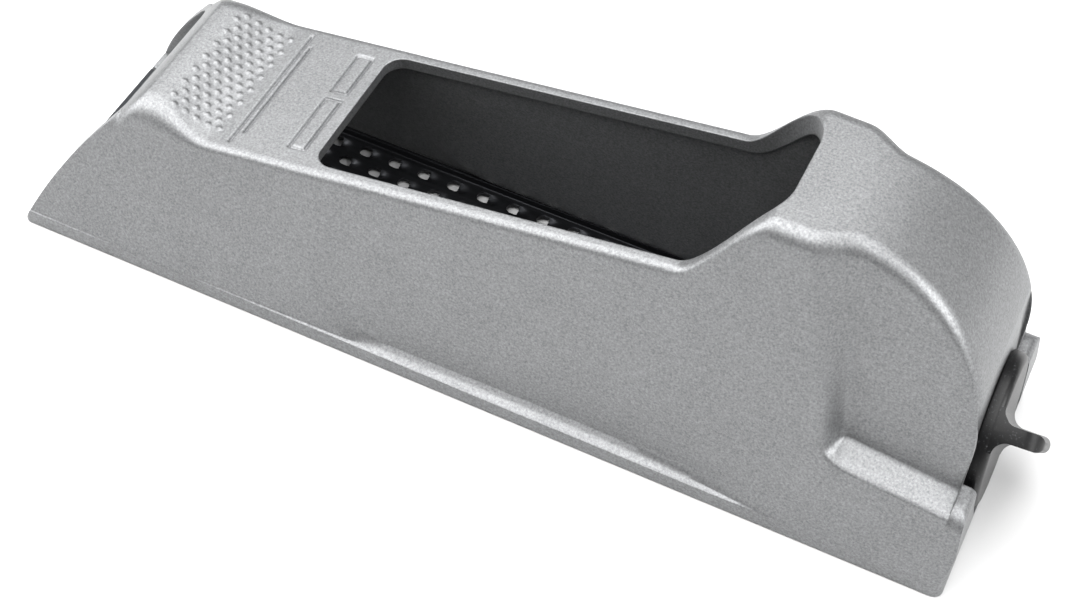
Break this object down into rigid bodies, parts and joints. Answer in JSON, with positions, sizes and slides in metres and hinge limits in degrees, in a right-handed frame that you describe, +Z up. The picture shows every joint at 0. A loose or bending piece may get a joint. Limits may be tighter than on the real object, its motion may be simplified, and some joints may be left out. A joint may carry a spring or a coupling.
{
  "type": "rasp plane",
  "caption": "Small one-handed rasp plane: hammered silver casting with chip opening and palm hump, perforated rasp blade, and a black thumb knob that stretches it.",
  "frame": {"origin": "under the middle of the whole tool, knob included, at the tips of the rasp teeth", "axes": "+X from the toe to the knob, +Y across to the left of a user who pushes towards -X, +Z up"},
  "size_m": [0.1664, 0.044, 0.0544],
  "materials": {
    "cast_paint": "hammered silver-grey enamel, satin",
    "blade_steel": "hardened strip, blackened",
    "hook_steel": "stamped steel, bright",
    "zinc_steel": "zinc plated",
    "spring_steel": "blued spring steel",
    "knob_plastic": "moulded black, semi-gloss"
  },
  "bodies": {
    "plane": {"body": "cast_paint", "blade": "blade_steel", "knob_washer": "zinc_steel", "wall_washer": "zinc_steel"},
    "knob_screw": {"knob": "knob_plastic", "tension_screw": "zinc_steel", "retaining_ring": "spring_steel"},
    "hook": {"tension_hook": "hook_steel", "tension_nut": "zinc_steel"}
  },
  "joints": [
    {"name": "knob_turn", "type": "hinge", "parent": "plane", "child": "knob_screw", "pos_m": [0.07342, 0, 0.0151], "axis": [0.9976, 0, 0.0698], "range_deg": [0, 1800]},
    {"name": "hook_slide", "type": "slide", "parent": "plane", "child": "hook", "axis": [-0.9976, 0, -0.0698], "range_m": [0, 0.004]}
  ],
  "couplings": [
    {"joint": "knob_turn", "follows": "hook_slide", "rad_per_m": 7854}
  ]
}
